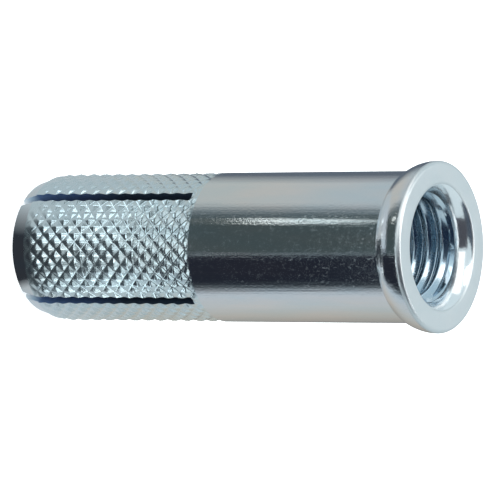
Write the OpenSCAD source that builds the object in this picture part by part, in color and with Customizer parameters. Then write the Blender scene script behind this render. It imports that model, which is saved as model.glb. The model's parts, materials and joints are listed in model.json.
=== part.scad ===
// Lipped drop-in anchor for M12 bolts. One turned sleeve, knurled and slotted at its expansion end
// and tapped at its lipped mouth, holds a loose-fitted tapered plug in its inner cone.
// It stands on its nose: the origin is at the centre of the nose end, and +Z leaves the mouth.

/* [Sleeve] */
// Overall length, from the nose end to the lip face
sleeve_length = 50; // [46:0.5:70]
// Diameter of the plain body, and of the knurl over its points
body_d = 16; // [15.5:0.1:18]

/* [Lip] */
// How far the lip stands out from the body
lip_overhang = 1.05; // [0.6:0.05:2.5]
// Distance from the lip face down to the ring where the flare starts
flare_length = 3.4; // [2.5:0.1:6]
// Radius of the rounded outer edge of the lip face
lip_edge_round = 0.25; // [0.2:0.05:0.8]

/* [Nose] */
// Length of the smooth taper before the knurl
nose_length = 2.2; // [1.5:0.1:4]
// How much smaller the nose end is than the body, on the radius
nose_drop = 0.95; // [0.8:0.05:2]
// Radius of the rounded edge of the nose end
nose_round = 0.8; // [0.3:0.1:1.2]

/* [Knurl] */
// Length of the knurled band
knurl_length = 21.2; // [16:0.1:24]
// Diamonds around the circumference
knurl_count = 30; // [24:1:40]
// Depth of the grooves between the diamonds
knurl_depth = 0.2; // [0.15:0.05:0.45]
// Height of the shoulder between the nose taper and the bottom of the grooves
knurl_shoulder = 0.1; // [0.1:0.05:0.4]

/* [Slots] */
// Saw cuts that part the expansion end into legs
slot_count = 4; // [3:1:6]
// Width of each saw cut
slot_width = 1; // [0.6:0.1:1.6]
// Length of each saw cut from the nose end
slot_length = 22.5; // [16:0.1:26]

/* [Bore] */
// Diameter of the tapped hole over its thread crests
thread_minor_d = 10.2; // [9.6:0.1:10.6]
// Depth of the tapped hole below the lip face
thread_depth = 22; // [16:0.5:24]
// Diameter of the rounded mouth at the lip face
mouth_d = 12.5; // [11.8:0.1:13]
// Depth over which the mouth rounds inward
mouth_depth = 1.8; // [1:0.1:2.4]
// How much the mouth narrows over that depth, on the radius
mouth_narrowing = 0.5; // [0.2:0.05:0.7]
// How much smaller the plug chamber is than the tapped hole, on the radius
chamber_step = 0.3; // [0.2:0.05:0.6]
// Diameter of the hole in the nose end
exit_d = 6.4; // [5:0.1:7.5]
// Slope of the inner cone against the axis
cone_angle = 5; // [4:0.5:7]

/* [Expander plug] */
// Length of the plug
plug_length = 15; // [12:0.5:18]
// Length of the plug's tapered front
plug_cone_length = 9; // [6:0.5:10]
// Gap all round between the plug and the sleeve
plug_clearance = 0.05; // [0.02:0.01:0.15]
// Broken edges at both ends of the plug
plug_chamfer = 0.4; // [0.2:0.1:0.8]

/* [Hidden] */

$fn = 96;
arc_steps = 8;
cut_margin = 1;

body_r = body_d / 2;
lip_r = body_r + lip_overhang;

// The flare is one arc that leaves the body at an angle and ends upright at the rim.
flare_z = sleeve_length - flare_length;
rim_z = sleeve_length - lip_edge_round;
flare_rise = rim_z - flare_z;
flare_r = (pow(lip_overhang, 2) + pow(flare_rise, 2)) / (2 * lip_overhang);
flare_angle = asin(flare_rise / flare_r);

// The knurl is a net of columns and rows, with a diamond's point at every other crossing.
knurl_root_r = body_r - knurl_depth;
knurl_columns = 2 * knurl_count;
knurl_end_z = nose_length + knurl_length;
knurl_rows = round(knurl_length * knurl_columns / (PI * body_d)) + 1;
knurl_step = knurl_length / (knurl_rows - 0.5);

nose_r = body_r - nose_drop;
nose_top_r = knurl_root_r - knurl_shoulder;
nose_slope = atan((nose_top_r - nose_r) / nose_length);
nose_round_reach = nose_round * tan((90 - nose_slope) / 2);

thread_minor_r = thread_minor_d / 2;
thread_end_z = sleeve_length - thread_depth;

// The mouth is one arc that ends upright, and a 45 degree cone leads from there into the thread.
mouth_z = sleeve_length - mouth_depth;
mouth_r = mouth_d / 2;
mouth_inner_r = mouth_r - mouth_narrowing;
mouth_curve_r = (pow(mouth_narrowing, 2) + pow(mouth_depth, 2)) / (2 * mouth_narrowing);
mouth_angle = asin(mouth_depth / mouth_curve_r);
thread_top_z = mouth_z - (mouth_inner_r - thread_minor_r);

chamber_r = thread_minor_r - chamber_step;
exit_r = exit_d / 2;
cone_length = (chamber_r - exit_r) / tan(cone_angle);

// The plug's front has the slope of the inner cone, so it seats where the gap is even.
plug_r = chamber_r - plug_clearance;
plug_front_r = plug_r - plug_cone_length * tan(cone_angle);
plug_z = (plug_front_r + plug_clearance - exit_r) / tan(cone_angle);

// Points along an arc of a profile, from one angle to another
function arc(centre, radius, from, to) =
    [for (s = [0:arc_steps])
        let (a = from + (to - from) * s / arc_steps)
        centre + radius * [cos(a), sin(a)]];

// Radius of the knurl where a column and a row cross; the first and last rows run out at the root
function knurl_r(column, row) =
    row == 0 || row == knurl_rows || (column + row) % 2 == 0 ? knurl_root_r : body_r;

function knurl_index(column, row) = row * knurl_columns + column % knurl_columns;

// Two triangles for one cell of the net, parted along the groove that crosses it
function knurl_cell(column, row) =
    let (a = knurl_index(column, row))
    let (b = knurl_index(column + 1, row))
    let (c = knurl_index(column + 1, row + 1))
    let (d = knurl_index(column, row + 1))
    (column + row) % 2 == 0 ? [[a, c, b], [a, d, c]] : [[a, d, b], [b, d, c]];

// Smooth tapered nose, with a peg that reaches into the knurled rod
module nose_solid() {
    round_centre = [nose_r - nose_round_reach, nose_round];
    rotate_extrude()
        polygon(concat(
            [[0, 0]],
            arc(round_centre, nose_round, -90, -nose_slope),
            [[nose_top_r, nose_length], [nose_top_r, nose_length + knurl_step], [0, nose_length + knurl_step]]
        ));
}

// Rod with raised diamonds, which ends half a row inside the body
module knurled_rod() {
    points = [for (row = [0:knurl_rows], column = [0:knurl_columns - 1])
        let (a = 360 * column / knurl_columns)
        let (r = knurl_r(column, row))
        [r * cos(a), r * sin(a), nose_length + row * knurl_step]];
    cells = [for (row = [0:knurl_rows - 1], column = [0:knurl_columns - 1])
        each knurl_cell(column, row)];
    lower_end = [for (column = [0:knurl_columns - 1]) knurl_index(column, 0)];
    upper_end = [for (column = [knurl_columns - 1:-1:0]) knurl_index(column, knurl_rows)];
    polyhedron(points, concat(cells, [lower_end, upper_end]));
}

// Plain body with its flared lip
module body_solid() {
    rotate_extrude()
        polygon(concat(
            [[0, knurl_end_z], [body_r, knurl_end_z]],
            arc([lip_r - flare_r, rim_z], flare_r, -flare_angle, 0),
            arc([lip_r - lip_edge_round, rim_z], lip_edge_round, 0, 90),
            [[0, sleeve_length]]
        ));
}

// Rounded mouth, tapped hole, plug chamber and inner cone, as one cut from end to end
module bore_cut() {
    rotate_extrude()
        polygon(concat(
            [
                [0, -cut_margin],
                [exit_r, -cut_margin],
                [exit_r, 0],
                [chamber_r, cone_length],
                [chamber_r, thread_end_z - chamber_step],
                [thread_minor_r, thread_end_z],
                [thread_minor_r, thread_top_z]
            ],
            arc([mouth_inner_r + mouth_curve_r, mouth_z], mouth_curve_r, 180, 180 - mouth_angle),
            [[mouth_r, sleeve_length + cut_margin], [0, sleeve_length + cut_margin]]
        ));
}

// Saw cuts, half a step away from the X axis
module slot_cuts() {
    for (k = [0:slot_count - 1])
        rotate((k + 0.5) * 360 / slot_count)
            translate([0, -slot_width / 2, -cut_margin])
                cube([lip_r, slot_width, slot_length + cut_margin]);
}

module sleeve() {
    color("silver")
        difference() {
            union() {
                nose_solid();
                knurled_rod();
                body_solid();
            }
            bore_cut();
            slot_cuts();
        }
}

// Tapered plug, seated in the inner cone as it is sold
module expander_plug() {
    front_edge_r = plug_front_r - plug_chamfer;
    color("slategray")
        translate([0, 0, plug_z])
            rotate_extrude()
                polygon([
                    [0, 0],
                    [front_edge_r, 0],
                    [plug_front_r + plug_chamfer * tan(cone_angle), plug_chamfer],
                    [plug_r, plug_cone_length],
                    [plug_r, plug_length - plug_chamfer],
                    [plug_r - plug_chamfer, plug_length],
                    [0, plug_length]
                ]);
}

sleeve();
expander_plug();
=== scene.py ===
"""Looks of the lipped drop-in anchor.

A knurled, slotted and tapped sleeve in bright zinc plate, with its turned plug inside.
"""

import json
import math

import bmesh
import bpy
import numpy as np
from mathutils import Matrix, Vector


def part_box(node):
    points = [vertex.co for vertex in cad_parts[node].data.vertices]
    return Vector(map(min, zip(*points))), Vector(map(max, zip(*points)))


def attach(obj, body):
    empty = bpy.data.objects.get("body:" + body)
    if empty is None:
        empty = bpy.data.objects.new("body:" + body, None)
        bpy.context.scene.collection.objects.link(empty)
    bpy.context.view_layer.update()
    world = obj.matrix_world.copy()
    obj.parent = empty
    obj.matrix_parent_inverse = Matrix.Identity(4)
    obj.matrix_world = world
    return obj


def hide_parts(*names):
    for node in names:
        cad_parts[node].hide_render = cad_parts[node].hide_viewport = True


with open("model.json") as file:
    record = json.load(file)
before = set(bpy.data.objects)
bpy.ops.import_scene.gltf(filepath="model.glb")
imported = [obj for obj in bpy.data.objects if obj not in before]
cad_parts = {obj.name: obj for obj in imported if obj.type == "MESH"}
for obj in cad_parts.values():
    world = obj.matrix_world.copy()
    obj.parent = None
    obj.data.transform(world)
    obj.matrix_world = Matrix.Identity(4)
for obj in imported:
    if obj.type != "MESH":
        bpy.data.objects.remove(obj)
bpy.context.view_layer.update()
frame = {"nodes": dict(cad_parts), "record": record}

MM = 0.001
FULL_TURN = 2 * math.pi
MOUNTS = {mount["name"]: mount for mount in frame["record"]["mounts"]}


def mount_span(name):
    """Radius of a round mount, and the heights where its wall starts and ends."""
    mount = MOUNTS[name]
    half = mount["dims"]["length_mm"] * MM / 2
    middle = mount["pos_m"][2]
    return mount["dims"]["r_mm"] * MM, middle - half, middle + half


# Sizes that the frame gives
sleeve_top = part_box("sleeve")[1]
LENGTH = sleeve_top.z
LIP_R = sleeve_top.x
BODY_R, KNURL_END, FLARE_START = mount_span("body")
THREAD_R, THREAD_END, THREAD_TOP = mount_span("thread")

# Sizes of the sleeve that the frame doesn't name
LIP_EDGE_ROUND = 0.42 * MM
MOUTH_DEPTH = 1.8 * MM
MOUTH_CURVE_R = 3.2 * MM
MOUTH_FOOT_TILT = math.radians(10)
MOUTH_EDGE_ROUND = 0.4 * MM
NOSE_LENGTH = 2.2 * MM
NOSE_DROP = 0.95 * MM
NOSE_ROUND = 0.8 * MM
KNURL_COUNT = 30
KNURL_DEPTH = 0.2 * MM
KNURL_SHOULDER = 0.1 * MM
SLOT_COUNT = 4
SLOT_WIDTH = 1.0 * MM
SLOT_LENGTH = 22.5 * MM
CHAMBER_STEP = 0.3 * MM
EXIT_R = 3.2 * MM
CONE_SLOPE = math.tan(math.radians(5))
PITCH = 1.75 * MM
THREAD_MAJOR_R = 6.0 * MM
THREAD_LEAD_IN = 0.5 * PITCH
THREAD_RUN_OUT = 1.5 * PITCH
BROKEN_EDGE = 0.08 * MM

# Wear of the knurl: shares of a diamond's height, and rows of diamonds
RIDGE_WEAR = 0.16
HEIGHT_SPREAD = 0.08
HEIGHT_GRAIN = 0.01
BOLDER_FAMILY = 1.18
RISING_ROWS = 1.5
RAGGED_ROWS = 0.7

# Fineness of the sleeve's skin
KNURL_FINE = 6
OUTER_COLUMNS = 2 * KNURL_COUNT * KNURL_FINE
INNER_COLUMNS = OUTER_COLUMNS // 2
ARC_STEPS = 10
FLARE_STEPS = 12
LIP_EDGE_STEPS = 6
MOUTH_EDGE_STEPS = 5
PLAIN_STEPS = 4

# Material zones of the sleeve
BODY, FACE, MOUTH, KNURL, THREAD, SAW_CUT = range(6)


class Skin:
    """Points and faces of one closed skin, made ring by ring along its section."""

    def __init__(self):
        self.points = []
        self.faces = []
        self.zones = []

    def add_points(self, radii, heights, angles):
        start = len(self.points)
        self.points.extend(zip(radii * np.cos(angles), radii * np.sin(angles), heights))
        return np.arange(start, len(self.points))

    def ring(self, radius, height, columns):
        angles = np.arange(columns) * FULL_TURN / columns
        return self.add_points(np.full(columns, radius), np.full(columns, height), angles)

    def face(self, corners, zone):
        corners = list(dict.fromkeys(int(c) for c in corners))
        if len(corners) > 2:
            self.faces.append(corners)
            self.zones.append(zone)

    def join(self, first, second, zone):
        """Quads between two rings with as many columns each."""
        count = len(first)
        for i in range(count):
            j = (i + 1) % count
            self.face((first[i], first[j], second[j], second[i]), zone)

    def join_fine_to_coarse(self, fine, coarse, zone):
        """Triangles from a ring to one with half as many columns."""
        count = len(coarse)
        for i in range(count):
            j = (i + 1) % count
            a, b, c = fine[2 * i], fine[2 * i + 1], fine[2 * j]
            self.face((a, b, coarse[i]), zone)
            self.face((b, coarse[j], coarse[i]), zone)
            self.face((b, c, coarse[j]), zone)

    def join_coarse_to_fine(self, coarse, fine, zone):
        """Triangles from a ring to one with twice as many columns."""
        count = len(coarse)
        for i in range(count):
            j = (i + 1) % count
            a, b, c = fine[2 * i], fine[2 * i + 1], fine[2 * j]
            self.face((coarse[i], b, a), zone)
            self.face((coarse[i], coarse[j], b), zone)
            self.face((coarse[j], c, b), zone)

    def path(self, start, section, columns, zone):
        """Carries on from a ring through each (radius, height) of a section."""
        last = start
        for radius, height in section:
            following = self.ring(radius, height, columns)
            self.join(last, following, zone)
            last = following
        return last


def arc(centre, radius, start, end, steps=ARC_STEPS):
    """(radius, height) points along an arc of a section; angles in radians."""
    angles = [start + (end - start) * i / steps for i in range(steps + 1)]
    return [(centre[0] + radius * math.cos(a), centre[1] + radius * math.sin(a)) for a in angles]


def wave(x):
    """0 on a groove, 1 half way between two grooves."""
    return 1 - np.abs(2 * (x - np.floor(x)) - 1)


def soft_least(a, b):
    """The lesser of two heights, with the ridge where they cross a little worn."""
    share = np.clip(0.5 + (b - a) / (2 * RIDGE_WEAR), 0, 1)
    return b + (a - b) * share - RIDGE_WEAR * share * (1 - share)


def diamond(u, v, lead):
    """Height between two families of grooves; a lead over 1 makes the first family the bolder one."""
    return soft_least(wave(u) / lead, wave(v) * lead) / soft_least(1 / lead, lead)


def knurl_band(skin, start):
    """Diamond knurl from the nose to the body, with its grooves along the net's diagonals."""
    half_step = math.pi * BODY_R / KNURL_COUNT
    length = KNURL_END - NOSE_LENGTH
    rows = round(length / half_step) + 1
    fine_rows = rows * KNURL_FINE - KNURL_FINE // 2
    step = length / fine_rows
    columns = np.arange(OUTER_COLUMNS)
    angles = columns * FULL_TURN / OUTER_COLUMNS
    nearest_column = np.rint(columns / KNURL_FINE).astype(int) % (2 * KNURL_COUNT)
    chance = np.random.default_rng(7)
    wear = chance.normal(1.0, HEIGHT_SPREAD, (2 * KNURL_COUNT, rows + 1))
    ragged_end = chance.uniform(0, RAGGED_ROWS, 2 * KNURL_COUNT)
    rings = [start]
    for row in range(1, fine_rows + 1):
        u = (columns + row) / (2 * KNURL_FINE)
        v = (columns - row) / (2 * KNURL_FINE)
        lead = BOLDER_FAMILY ** (2 * row / fine_rows - 1)
        nearest_row = min(round(row / KNURL_FINE), rows)
        run_in = min(1.0, row / (RISING_ROWS * KNURL_FINE))
        run_out = np.clip(rows - row / KNURL_FINE - ragged_end[nearest_column], 0, 1)
        height = diamond(u, v, lead) * wear[nearest_column, nearest_row] * run_in * run_out
        height += chance.normal(0, HEIGHT_GRAIN, OUTER_COLUMNS)
        radii = BODY_R - KNURL_DEPTH + KNURL_DEPTH * np.clip(height, 0, 1)
        rings.append(skin.add_points(radii, np.full(OUTER_COLUMNS, NOSE_LENGTH + row * step), angles))
    for row in range(fine_rows):
        low, high = rings[row], rings[row + 1]
        for i in range(OUTER_COLUMNS):
            j = (i + 1) % OUTER_COLUMNS
            u = (i + row + 1) / (2 * KNURL_FINE)
            v = (i - row) / (2 * KNURL_FINE)
            if wave(u) < wave(v):
                skin.face((low[i], low[j], high[i]), KNURL)
                skin.face((low[j], high[j], high[i]), KNURL)
            else:
                skin.face((low[i], low[j], high[j]), KNURL)
                skin.face((low[i], high[j], high[i]), KNURL)
    return rings[-1]


def thread_form():
    """One pitch of a 60 degree thread: place along the axis in pitches, and depth from crest 0 to root 1.

    The crest and the root are arcs that end where the flanks touch them.
    """
    height = 5 / 16 * math.sqrt(3)
    crest_r, root_r = math.sqrt(3) / 8, math.sqrt(3) / 16
    crest = [math.radians(a) for a in (0, 20, 40, 60)]
    root = [math.radians(a) for a in (60, 30, 0)]
    half = [(crest_r * math.sin(a), crest_r * (1 - math.cos(a)) / height) for a in crest]
    half += [(0.5 - root_r * math.sin(a), 1 - root_r * (1 - math.cos(a)) / height) for a in root]
    return half + [(1 - place, depth) for place, depth in half[-2:0:-1]]


THREAD_FORM = thread_form()


def thread_wall(skin, top, top_z):
    """Right-hand internal thread whose rows follow the helix, from its lead-in cone to its run-out."""
    per_turn = len(THREAD_FORM)
    count = len(top)
    turns = (top_z - THREAD_END) / PITCH + 1
    rows = math.ceil(turns) * per_turn + 1
    bottom = skin.ring(THREAD_R, THREAD_END, count)
    depth = THREAD_MAJOR_R - THREAD_R
    nearly = 1e-4 * MM
    index = {}
    for row in range(rows):
        place, form = THREAD_FORM[row % per_turn]
        for column in range(count):
            turn = column / count
            z = top_z - (row // per_turn + place - turn) * PITCH
            if z > top_z - nearly:
                index[column, row] = top[column]
            elif z < THREAD_END + nearly:
                index[column, row] = bottom[column]
            else:
                fade = min(1.0, (z - THREAD_END) / THREAD_RUN_OUT, (top_z - z) / THREAD_LEAD_IN)
                lead_in = THREAD_R + z - THREAD_TOP
                r = max(THREAD_R + depth * form * fade, lead_in)
                index[column, row] = len(skin.points)
                skin.points.append((r * math.cos(turn * FULL_TURN), r * math.sin(turn * FULL_TURN), z))

    def corner(column, row):
        if column < count:
            return index[column, row]
        return index[0, row - per_turn] if row >= per_turn else top[0]

    for row in range(rows - 1):
        for column in range(count):
            skin.face((corner(column, row), corner(column + 1, row),
                       corner(column + 1, row + 1), corner(column, row + 1)), THREAD)
    return bottom


def nose(skin):
    """Nose end and smooth taper. Gives the bore's last ring and the ring where the knurl starts."""
    nose_r = BODY_R - NOSE_DROP
    nose_top_r = BODY_R - KNURL_DEPTH - KNURL_SHOULDER
    slope = math.atan((nose_top_r - nose_r) / NOSE_LENGTH)
    round_r = nose_r - NOSE_ROUND * math.tan((math.pi / 2 - slope) / 2)
    crisp = 2 * BROKEN_EDGE
    bore_end = skin.ring(EXIT_R + BROKEN_EDGE, 0, INNER_COLUMNS)
    fine_ring = skin.ring((EXIT_R + round_r) / 2, 0, OUTER_COLUMNS)
    skin.join_coarse_to_fine(bore_end, fine_ring, BODY)
    section = [(round_r - BROKEN_EDGE, 0)]
    section += arc((round_r, NOSE_ROUND), NOSE_ROUND, -math.pi / 2, -slope)
    section += [(nose_top_r - crisp * math.tan(slope), NOSE_LENGTH - crisp), (nose_top_r, NOSE_LENGTH)]
    last = skin.path(fine_ring, section, OUTER_COLUMNS, BODY)
    return bore_end, skin.path(last, [(BODY_R - KNURL_DEPTH, NOSE_LENGTH)], OUTER_COLUMNS, KNURL)


def body_and_lip(skin, last):
    """Plain body, the one arc of the flare, and the lip's rounded edge."""
    overhang = LIP_R - BODY_R
    rim_z = LENGTH - LIP_EDGE_ROUND
    rise = rim_z - FLARE_START
    flare_r = (overhang ** 2 + rise ** 2) / (2 * overhang)
    flare_angle = math.asin(rise / flare_r)
    plain = FLARE_START - KNURL_END
    section = [(BODY_R - BROKEN_EDGE, KNURL_END)]
    section += [(BODY_R, KNURL_END + BROKEN_EDGE), (BODY_R, KNURL_END + 3 * BROKEN_EDGE)]
    section += [(BODY_R, KNURL_END + plain * i / PLAIN_STEPS) for i in range(1, PLAIN_STEPS)]
    section += [(BODY_R, FLARE_START - 2 * BROKEN_EDGE)]
    section += arc((LIP_R - flare_r, rim_z), flare_r, -flare_angle, 0, FLARE_STEPS)
    last = skin.path(last, section, OUTER_COLUMNS, BODY)
    lip_edge = arc((LIP_R - LIP_EDGE_ROUND, rim_z), LIP_EDGE_ROUND, 0, math.pi / 2, LIP_EDGE_STEPS)
    return skin.path(last, lip_edge[1:], OUTER_COLUMNS, FACE)


def face_and_mouth(skin, last, mouth_z):
    """Lip face, the mouth's rounded edge, and its slow arc down to the cone that leads into the thread."""
    face_r = LIP_R - LIP_EDGE_ROUND
    mouth_inner_r = THREAD_R + mouth_z - THREAD_TOP
    curve_r = mouth_inner_r + MOUTH_CURVE_R * math.cos(MOUTH_FOOT_TILT)
    curve_z = mouth_z - MOUTH_CURVE_R * math.sin(MOUTH_FOOT_TILT)
    edge_z = LENGTH - MOUTH_EDGE_ROUND
    inset = MOUTH_CURVE_R - MOUTH_EDGE_ROUND
    rise = edge_z - curve_z
    edge_r = curve_r - math.sqrt(inset ** 2 - rise ** 2)
    edge_angle = math.pi - math.asin(rise / inset)
    flat = [(face_r - BROKEN_EDGE, LENGTH), ((face_r + edge_r) / 2, LENGTH)]
    last = skin.path(last, flat, OUTER_COLUMNS, FACE)
    coarse = skin.ring(edge_r, LENGTH, INNER_COLUMNS)
    skin.join_fine_to_coarse(last, coarse, FACE)
    rounded = arc((edge_r, edge_z), MOUTH_EDGE_ROUND, math.pi / 2, edge_angle, MOUTH_EDGE_STEPS)
    last = skin.path(coarse, rounded[1:], INNER_COLUMNS, FACE)
    slow_arc = arc((curve_r, curve_z), MOUTH_CURVE_R, edge_angle, math.pi - MOUTH_FOOT_TILT)
    return skin.path(last, slow_arc[1:], INNER_COLUMNS, MOUTH)


def chamber_and_cone(skin, last, bore_end):
    """Plug chamber and inner cone, back to the nose end."""
    chamber_r = THREAD_R - CHAMBER_STEP
    cone_top = (chamber_r - EXIT_R) / CONE_SLOPE
    narrowing = EXIT_R - chamber_r
    section = [(chamber_r, THREAD_END - CHAMBER_STEP)]
    section += [(chamber_r, cone_top + BROKEN_EDGE), (chamber_r, cone_top)]
    section += [(chamber_r + narrowing * i / PLAIN_STEPS, cone_top * (1 - i / PLAIN_STEPS))
                for i in range(1, PLAIN_STEPS)]
    section += [(EXIT_R + BROKEN_EDGE * CONE_SLOPE, BROKEN_EDGE)]
    last = skin.path(last, section, INNER_COLUMNS, THREAD)
    skin.join(last, bore_end, THREAD)


def sleeve_skin():
    """The whole sleeve without its saw cuts, from the nose end over the lip and down the bore."""
    skin = Skin()
    mouth_z = LENGTH - MOUTH_DEPTH
    bore_end, last = nose(skin)
    last = knurl_band(skin, last)
    last = body_and_lip(skin, last)
    last = face_and_mouth(skin, last, mouth_z)
    last = thread_wall(skin, last, mouth_z)
    chamber_and_cone(skin, last, bore_end)
    return skin


def new_object(name, content):
    """An object around a mesh, a light or a camera, linked into the scene."""
    made = bpy.data.objects.new(name, content)
    bpy.context.scene.collection.objects.link(made)
    return made


def slot_cutter():
    """One thin block per saw cut, from inside the bore out past the body."""
    inner = 2.0 * MM
    outer = LIP_R
    margin = 1.0 * MM
    bm = bmesh.new()
    for k in range(SLOT_COUNT):
        made = bmesh.ops.create_cube(bm, size=1)
        block = Matrix.Translation(((inner + outer) / 2, 0, SLOT_LENGTH / 2 - margin / 2))
        block = Matrix.Rotation((k + 0.5) * FULL_TURN / SLOT_COUNT, 4, "Z") @ block
        size = Matrix.Diagonal((outer - inner, SLOT_WIDTH, SLOT_LENGTH + margin, 1))
        bmesh.ops.transform(bm, matrix=block @ size, verts=made["verts"])
    for face in bm.faces:
        face.material_index = SAW_CUT
    mesh = bpy.data.meshes.new("saw_cuts")
    bm.to_mesh(mesh)
    bm.free()
    return new_object("saw_cuts", mesh)


def mark_sharp(mesh):
    """Smooth shading, with the turned and sawn edges kept crisp and the knurl's grooves soft."""
    limits = {KNURL: math.radians(50), THREAD: math.radians(30)}
    plain_limit = math.radians(24)
    bm = bmesh.new()
    bm.from_mesh(mesh)
    for face in bm.faces:
        face.smooth = True
    for e in bm.edges:
        zones = {face.material_index for face in e.link_faces}
        limit = limits.get(zones.pop(), plain_limit) if len(zones) == 1 else plain_limit
        e.smooth = len(e.link_faces) == 2 and e.calc_face_angle(0) < limit
    bm.to_mesh(mesh)
    bm.free()


def make_sleeve(materials):
    """The sleeve's skin with its saw cuts cut out, in one material for each zone."""
    skin = sleeve_skin()
    mesh = bpy.data.meshes.new("anchor_sleeve")
    mesh.from_pydata(skin.points, [], skin.faces)
    mesh.polygons.foreach_set("material_index", skin.zones)
    piece = new_object("anchor_sleeve", mesh)
    cutter = slot_cutter()
    for material in materials:
        mesh.materials.append(material)
        cutter.data.materials.append(material)
    cut = piece.modifiers.new("saw_cuts", "BOOLEAN")
    cut.operation = "DIFFERENCE"
    cut.solver = "MANIFOLD"
    cut.object = cutter
    graph = bpy.context.evaluated_depsgraph_get()
    finished = bpy.data.meshes.new_from_object(piece.evaluated_get(graph))
    piece.modifiers.clear()
    piece.data = finished
    bpy.data.objects.remove(cutter)
    mark_sharp(finished)
    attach(piece, "root")
    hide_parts("sleeve")


class Nodes:
    """A material with short calls for its nodes."""

    def __init__(self, name):
        self.material = bpy.data.materials.new(name)
        self.material.use_nodes = True
        self.tree = self.material.node_tree
        self.shader = self.tree.nodes["Principled BSDF"]

    def add(self, kind, **values):
        node = self.tree.nodes.new(kind)
        for key, value in values.items():
            node.inputs[key.replace("_", " ")].default_value = value
        return node

    def link(self, source, target):
        self.tree.links.new(source, target)

    def place(self):
        return self.add("ShaderNodeTexCoord").outputs["Object"]

    def noise(self, features_per_metre, detail):
        """Noise with its own count of features per metre along X, Y and Z."""
        mapping = self.add("ShaderNodeMapping", Scale=features_per_metre)
        self.link(self.place(), mapping.inputs["Vector"])
        node = self.add("ShaderNodeTexNoise", Scale=1.0, Detail=detail)
        self.link(mapping.outputs["Vector"], node.inputs["Vector"])
        return node.outputs["Fac"]

    def height_share(self, top):
        """0 at the foot of the object, 1 at a height."""
        parts = self.add("ShaderNodeSeparateXYZ")
        self.link(self.place(), parts.inputs["Vector"])
        return self.spread(parts.outputs["Z"], 0, 1, 0, top)

    def ramp(self, fac, stops):
        """Colours along a value; each stop has a place and a colour."""
        node = self.add("ShaderNodeValToRGB")
        elements = node.color_ramp.elements
        while len(elements) < len(stops):
            elements.new(0.5)
        for element, (place, colour) in zip(elements, stops):
            element.position = place
            element.color = (*colour, 1)
        self.link(fac, node.inputs["Fac"])
        return node.outputs["Color"]

    def spread(self, value, low, high, value_low=0.3, value_high=0.7):
        """A value's span stretched onto another span; most noise lies between 0.3 and 0.7."""
        node = self.add("ShaderNodeMapRange", From_Min=value_low, From_Max=value_high)
        node.inputs["To Min"].default_value = low
        node.inputs["To Max"].default_value = high
        self.link(value, node.inputs["Value"])
        return node.outputs["Result"]

    def sum(self, first, second):
        node = self.add("ShaderNodeMath")
        self.link(first, node.inputs[0])
        self.link(second, node.inputs[1])
        return node.outputs["Value"]

    def bump(self, height, depth, before=None):
        node = self.add("ShaderNodeBump", Strength=1.0, Distance=depth)
        self.link(height, node.inputs["Height"])
        if before is not None:
            self.link(before, node.inputs["Normal"])
        return node.outputs["Normal"]


# Marks in the metal, as features per metre along X, Y and Z
DRAWN = (2400, 2400, 40)
GRAINY = (2200, 2200, 2200)
FINE_GRAIN = (5000, 5000, 5000)
WAVY = (900, 900, 900)
PITTED = (4200, 4200, 2600)
TINT_DRIFT = (420, 420, 100)
GLOSS_DRIFT = (900, 900, 400)
OIL_DRIFT = (300, 300, 120)
TURNED = (60, 60, 9000)

# Where the noise turns from cool to warm and from gloss to pit, and how far the gloss swings
TINT_STOPS = (0.36, 0.66)
PIT_STOPS = (0.56, 0.70)
GLOSS_SWING = (0.9, 1.15)

# Painted light and shade on the saw cuts' walls along their length: painted pale light at the open nose,
# then blue, then painted shade that is nearly black
SAW_CUT_PAINTED_SHADE = (
    (0.0, (0.80, 0.84, 0.86)),
    (0.06, (0.40, 0.52, 0.62)),
    (0.11, (0.08, 0.15, 0.30)),
    (0.35, (0.04, 0.08, 0.18)),
    (0.6, (0.02, 0.035, 0.06)),
)


def zinc(name, cool, warm, roughness, pits, marks, marks_depth, grain_depth, metal=1.0):
    """Plated steel: a slow drift of tint, dull pits in the gloss, and fine marks over an even grain."""
    n = Nodes(name)
    n.shader.inputs["Metallic"].default_value = metal
    tint = n.ramp(n.noise(TINT_DRIFT, 4), list(zip(TINT_STOPS, (cool, warm))))
    n.link(tint, n.shader.inputs["Base Color"])
    gloss = n.spread(n.noise(GLOSS_DRIFT, 4), *(roughness * swing for swing in GLOSS_SWING))
    dull = n.spread(n.noise(PITTED, 3), 0, pits, *PIT_STOPS)
    n.link(n.sum(gloss, dull), n.shader.inputs["Roughness"])
    grain = n.bump(n.noise(FINE_GRAIN, 2), grain_depth)
    n.link(n.bump(n.noise(marks, 3), marks_depth, grain), n.shader.inputs["Normal"])
    return n.material


def saw_cut():
    """Walls of the saw cuts, with painted light and shade in their colour: painted pale where the open nose
    lets light in, and painted darker the less light gets in.
    """
    n = Nodes("zinc_saw_cut")
    n.shader.inputs["Metallic"].default_value = 0.3
    n.shader.inputs["Roughness"].default_value = 0.5
    # Painted shade: the base colour goes from painted pale light at the nose to painted near-black shade up
    # the cut.
    shade = n.ramp(n.height_share(SLOT_LENGTH), SAW_CUT_PAINTED_SHADE)
    n.link(shade, n.shader.inputs["Base Color"])
    n.link(n.bump(n.noise(GRAINY, 3), 0.02 * MM), n.shader.inputs["Normal"])
    return n.material


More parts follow.
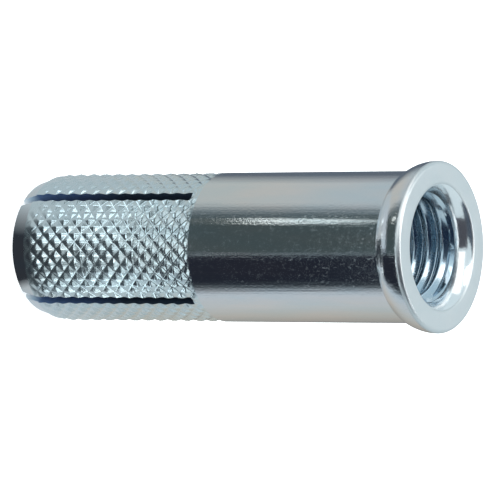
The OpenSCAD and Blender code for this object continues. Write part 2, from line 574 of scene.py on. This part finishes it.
def sleeve_materials():
    """The sleeve's finishes, in the order of its zones; the thread's and the saw cuts' colours hold painted
    shade.
    """
    return [
        zinc("zinc_body", cool=(0.69, 0.74, 0.765), warm=(0.77, 0.75, 0.745), roughness=0.11, pits=0.13,
             marks=DRAWN, marks_depth=0.014 * MM, grain_depth=0.010 * MM),
        zinc("zinc_face", cool=(0.60, 0.638, 0.652), warm=(0.615, 0.643, 0.653), roughness=0.36, pits=0.1,
             marks=GRAINY, marks_depth=0.003 * MM, grain_depth=0.002 * MM),
        zinc("zinc_mouth", cool=(0.76, 0.80, 0.82), warm=(0.78, 0.81, 0.82), roughness=0.15, pits=0.05,
             marks=WAVY, marks_depth=0.02 * MM, grain_depth=0.002 * MM, metal=0.92),
        zinc("zinc_knurl", cool=(0.675, 0.765, 0.79), warm=(0.72, 0.77, 0.77), roughness=0.18, pits=0.1,
             marks=GRAINY, marks_depth=0.009 * MM, grain_depth=0.005 * MM),
        # Partly painted shade: the thread's colour is darker than the outer plate's, standing in for the
        # shade in the bore, over the plate's own blue tint.
        zinc("zinc_thread", cool=(0.41, 0.53, 0.62), warm=(0.50, 0.58, 0.63), roughness=0.18, pits=0.1,
             marks=GRAINY, marks_depth=0.003 * MM, grain_depth=0.002 * MM),
        saw_cut(),
    ]


def make_plug():
    """The plug's own solid stays, in turned steel."""
    n = Nodes("turned_plug")
    n.shader.inputs["Metallic"].default_value = 1.0
    n.shader.inputs["Roughness"].default_value = 0.38
    tint = n.ramp(n.noise(OIL_DRIFT, 4), [(0.3, (0.30, 0.31, 0.32)), (0.7, (0.46, 0.47, 0.48))])
    n.link(tint, n.shader.inputs["Base Color"])
    n.link(n.bump(n.noise(TURNED, 1), 0.004 * MM), n.shader.inputs["Normal"])
    plug = frame["nodes"]["expander_plug"]
    plug.data.materials.clear()
    plug.data.materials.append(n.material)


# Studio: a white floor, a pale sky, soft lights, and reflectors that only reflections see
SKY = (0.74, 0.86, 0.91)
WHITE = (1.0, 1.0, 1.0)
WARM_WHITE = (1.0, 0.95, 0.92)
GREY_BLUE = (0.53, 0.60, 0.635)
WARM_GREY = (0.575, 0.60, 0.585)
PALE_BLUE = (0.57, 0.66, 0.73)
PALE = (0.60, 0.64, 0.65)
SAND = (0.54, 0.53, 0.49)
CLAY = (0.37, 0.36, 0.335)
SLATE = (0.15, 0.19, 0.21)
DUSK = (0.13, 0.16, 0.20)
OLIVE = (0.064, 0.088, 0.094)
SOOT = (0.06, 0.075, 0.085)
INK = (0.032, 0.038, 0.048)
PLUM = (0.03, 0.025, 0.04)
NAVY = (0.02, 0.035, 0.065)
BLACK = (0.018, 0.022, 0.034)

# Heights of the floor, of the ring of reflectors and of the cards that lie over it
FLOOR_Z = -0.02 * MM
RING_Z = 0.1 * MM
CARD_Z = 0.2 * MM

# Glints in the knurl: brightness of the cards that make them, and how many degrees round the bright ones go
LEAST_GLINT = 0.5
MOST_GLINT = 2.6
MOST_SIDE_GLINT = 1.0
FRONT_HALF = 62
glint_chance = np.random.default_rng(11)


def glint(angle):
    """Sky at a chance brightness, for cards that the diamonds' facets mirror; calmer at the sides."""
    most = MOST_GLINT if abs(angle) < FRONT_HALF else MOST_SIDE_GLINT
    bright = glint_chance.uniform(LEAST_GLINT, most)
    return tuple(c * bright for c in SKY)


# Reflectors round the foot: degrees from the camera's side towards -X, and the colour there
BODY_REFLECTORS = (
    (-180, DUSK), (-148, CLAY), (-120, SAND), (-95, PALE), (-71, PALE_BLUE), (-57, SOOT), (-50, BLACK),
    (-10.5, BLACK), (-8.5, OLIVE), (44, OLIVE), (52, SLATE), (68, GREY_BLUE), (110, GREY_BLUE),
    (138, DUSK), (180, DUSK),
)
NEAR_BODY_REFLECTORS = tuple(
    (angle, WARM_GREY if colour == GREY_BLUE else colour) for angle, colour in BODY_REFLECTORS
)
FLARE_REFLECTORS = (
    (-180, DUSK), (-155, SAND), (-125, SAND), (-95, PALE), (-74, PALE_BLUE), (-60, BLACK), (-10, BLACK),
    (0, PALE_BLUE), (60, PALE_BLUE), (108, GREY_BLUE), (165, GREY_BLUE), (180, DUSK),
)
KNURL_REFLECTORS = (
    (-180, DUSK), (-120, PALE), (-70, PALE_BLUE), (-40, SOOT), (20, SOOT), (32, GREY_BLUE),
    (120, GREY_BLUE), (180, DUSK),
)
NOSE_REFLECTORS = (
    (-180, DUSK), (-120, PALE), (-60, PALE_BLUE), (-40, GREY_BLUE), (-30, INK), (13, INK),
    (46, GREY_BLUE), (120, GREY_BLUE), (180, DUSK),
)
FAR_REFLECTORS = tuple((angle, glint(angle)) for angle in range(-180, 181, 9))
HORIZON_REFLECTORS = ((-180, GREY_BLUE), (180, GREY_BLUE))

# Zones of the ring, each from one radius to another; the colours blend in between
FOOT_ZONES = (
    (6.6 * MM, 9.5 * MM, NOSE_REFLECTORS),
    (11 * MM, 19 * MM, KNURL_REFLECTORS),
    (20.5 * MM, 33 * MM, FLARE_REFLECTORS),
    (38 * MM, 55 * MM, NEAR_BODY_REFLECTORS),
    (78 * MM, 100 * MM, BODY_REFLECTORS),
    (138 * MM, 230 * MM, FAR_REFLECTORS),
    (280 * MM, 1500 * MM, HORIZON_REFLECTORS),
)


def only_reflected(card, hides_lights=False):
    """Lets a card show in reflections alone; it may still keep the lights off the object."""
    card.visible_camera = False
    card.visible_diffuse = False
    card.visible_shadow = hides_lights
    card.visible_transmission = False


def glow(name, colour=None):
    """A card's own light, in one colour or in the colours of its points."""
    material = bpy.data.materials.new(name)
    material.use_nodes = True
    tree = material.node_tree
    tree.nodes.clear()
    light = tree.nodes.new("ShaderNodeEmission")
    if colour is None:
        point_colour = tree.nodes.new("ShaderNodeVertexColor")
        point_colour.layer_name = "glow"
        tree.links.new(point_colour.outputs["Color"], light.inputs["Color"])
    else:
        light.inputs["Color"].default_value = (*colour, 1)
    out = tree.nodes.new("ShaderNodeOutputMaterial")
    tree.links.new(light.outputs["Emission"], out.inputs["Surface"])
    return material


def around(radius, angle, height):
    """A point round the foot. The angle is in degrees from the camera's side towards -X."""
    turn = math.radians(angle)
    return (-radius * math.sin(turn), -radius * math.cos(turn), height)


def foot_reflectors():
    """One ring of soft-edged reflectors: dark and light zones that the standing metal mirrors."""
    rings = [(radius, stops) for inner, outer, stops in FOOT_ZONES for radius in (inner, outer)]
    angles = np.arange(-180, 181)
    points, colours = [], []
    for radius, stops in rings:
        at = [angle for angle, colour in stops]
        channels = [np.interp(angles, at, [colour[c] for angle, colour in stops]) for c in range(3)]
        points += [around(radius, a, RING_Z) for a in angles]
        colours += [(*rgb, 1) for rgb in zip(*channels)]
    count = len(angles)
    faces = [(z * count + i, z * count + i + 1, (z + 1) * count + i + 1, (z + 1) * count + i)
             for z in range(len(rings) - 1) for i in range(count - 1)]
    mesh = bpy.data.meshes.new("foot_reflectors")
    mesh.from_pydata(points, [], faces)
    layer = mesh.color_attributes.new("glow", "FLOAT_COLOR", "POINT")
    layer.data.foreach_set("color", np.array(colours).ravel())
    mesh.materials.append(glow("foot_reflectors"))
    only_reflected(new_object("foot_reflectors", mesh))


def bent_card(name, first, second, start, end, colour):
    """A card bent round the axis between two angles; its two edges each have a radius and a height."""
    columns = 33
    angles = np.linspace(start, end, columns)
    points = [around(radius, a, height) for radius, height in (first, second) for a in angles]
    mesh = bpy.data.meshes.new(name)
    mesh.from_pydata(points, [], [(i, i + 1, columns + i + 1, columns + i) for i in range(columns - 1)])
    mesh.materials.append(glow(name, colour))
    only_reflected(new_object(name, mesh))


def strip(name, start, end, inner, outer, colour, height=CARD_Z):
    """A lying card, just over the ring unless a height is given."""
    bent_card(name, (inner, height), (outer, height), start, end, colour)


def fence(name, start, end, radius, low, high, colour):
    """A standing card."""
    bent_card(name, (radius, low), (radius, high), start, end, colour)


def knurl_slats():
    """Slats of uneven brightness round the front, mirrored by the diamonds' upper facets near the nose."""
    reach, width, gap = 88, 7, 4
    for start in range(-reach, reach, width + gap):
        fence(f"knurl_slat_{start}", start, start + width, radius=18 * MM, low=1.5 * MM, high=12.5 * MM,
              colour=glint(start))


def facing(direction, distance):
    """Place and turn of a card or light that faces the object's middle."""
    towards = Vector(direction).normalized()
    place = Matrix.Translation(Vector((0, 0, LENGTH / 2)) + towards * distance)
    return place @ towards.to_track_quat("Z", "Y").to_matrix().to_4x4()


def hanging_card(name, direction, distance, size, colour):
    """A square card that faces the object's middle and keeps light from it."""
    half = size / 2
    corners = [(-half, -half, 0), (half, -half, 0), (half, half, 0), (-half, half, 0)]
    mesh = bpy.data.meshes.new(name)
    mesh.from_pydata(corners, [], [(0, 1, 2, 3)])
    mesh.materials.append(glow(name, colour))
    card = new_object(name, mesh)
    card.matrix_world = facing(direction, distance)
    only_reflected(card, hides_lights=True)


def soft_box(name, direction, distance, size, radiance, colour):
    """A square area light that faces the object's middle. Radiance is what a mirror would show."""
    light = bpy.data.lights.new(name, "AREA")
    light.shape = "SQUARE"
    light.size = size
    light.color = colour
    light.energy = radiance * math.pi * size * size
    new_object(name, light).matrix_world = facing(direction, distance)


def make_floor():
    """A round white floor, with a little light of its own so that it stays plain."""
    radius = 2.4
    corners = 96
    mesh = bpy.data.meshes.new("floor")
    edge = [around(radius, -360 * i / corners, FLOOR_Z) for i in range(corners)]
    mesh.from_pydata(edge, [], [tuple(range(corners))])
    n = Nodes("floor_white")
    n.shader.inputs["Base Color"].default_value = (0.93, 0.93, 0.93, 1)
    n.shader.inputs["Roughness"].default_value = 0.9
    n.shader.inputs["Emission Color"].default_value = (*WHITE, 1)
    n.shader.inputs["Emission Strength"].default_value = 0.6
    n.material.cycles.emission_sampling = "NONE"
    mesh.materials.append(n.material)
    new_object("floor", mesh)


def make_cards():
    """Cards for single reflections on the body and the knurl, and in the mouth and the thread."""
    strip("streak_near_lip", 37, 42, inner=56 * MM, outer=84 * MM, colour=(1.3, 1.45, 1.45))
    strip("streak_near_knurl", 37, 42, inner=41 * MM, outer=56 * MM, colour=(0.11, 0.135, 0.135))
    strip("seam", -10, -8, inner=41 * MM, outer=90 * MM, colour=(0.28, 0.33, 0.36))
    strip("knurl_dark", -42, 18, inner=12.5 * MM, outer=18.5 * MM, colour=INK, height=8 * MM)
    knurl_slats()
    fence("mouth_dark", -58, 4, radius=200 * MM, low=52 * MM, high=225 * MM, colour=PLUM)
    fence("mouth_bright", 10, 100, radius=200 * MM, low=52 * MM, high=170 * MM, colour=(1.6, 1.6, 1.6))
    hanging_card("navy_card", direction=(0.34, -0.20, 0.92), distance=0.45, size=0.5, colour=NAVY)


def make_studio():
    """Sky, floor, reflectors and lights."""
    world = bpy.data.worlds.new("studio")
    bpy.context.scene.world = world
    world.use_nodes = True
    world.node_tree.nodes["Background"].inputs["Color"].default_value = (*SKY, 1)
    make_floor()
    foot_reflectors()
    make_cards()
    soft_box("overhead", direction=(0.05, 0.1, 1), distance=1.3, size=1.4, radiance=2.4, colour=WARM_WHITE)
    soft_box("key", direction=(-0.56, -0.27, 0.76), distance=0.9, size=0.45, radiance=1.7, colour=WHITE)
    bpy.context.scene.view_settings.view_transform = "Standard"


def make_camera():
    """Looks down on the standing anchor and lies on its side, so the axis runs across the picture."""
    picture_px = 500
    focal_px = 4934
    aim_px = (244.57, 247.2)
    aim = Vector((0, 0, 25.6 * MM))
    distance = 528.7 * MM
    elevation = math.radians(32)
    azimuth = Matrix.Rotation(math.radians(-1.75), 3, "Z")
    back = azimuth @ Vector((0, -math.cos(elevation), math.sin(elevation)))
    right = azimuth @ Vector((0, math.sin(elevation), math.cos(elevation)))
    up = azimuth @ Vector((-1, 0, 0))
    lens = bpy.data.cameras.new("camera")
    lens.sensor_fit = "HORIZONTAL"
    lens.sensor_width = 36
    lens.lens = lens.sensor_width * focal_px / picture_px
    lens.clip_start = 0.02
    lens.clip_end = 10
    metres_per_px = distance / focal_px
    place = aim + back * distance
    place += right * (picture_px / 2 - aim_px[0]) * metres_per_px
    place -= up * (picture_px / 2 - aim_px[1]) * metres_per_px
    camera = new_object("camera", lens)
    camera.matrix_world = Matrix.Translation(place) @ Matrix((right, up, back)).transposed().to_4x4()
    bpy.context.scene.camera = camera


make_camera()
make_sleeve(sleeve_materials())
make_plug()
make_studio()
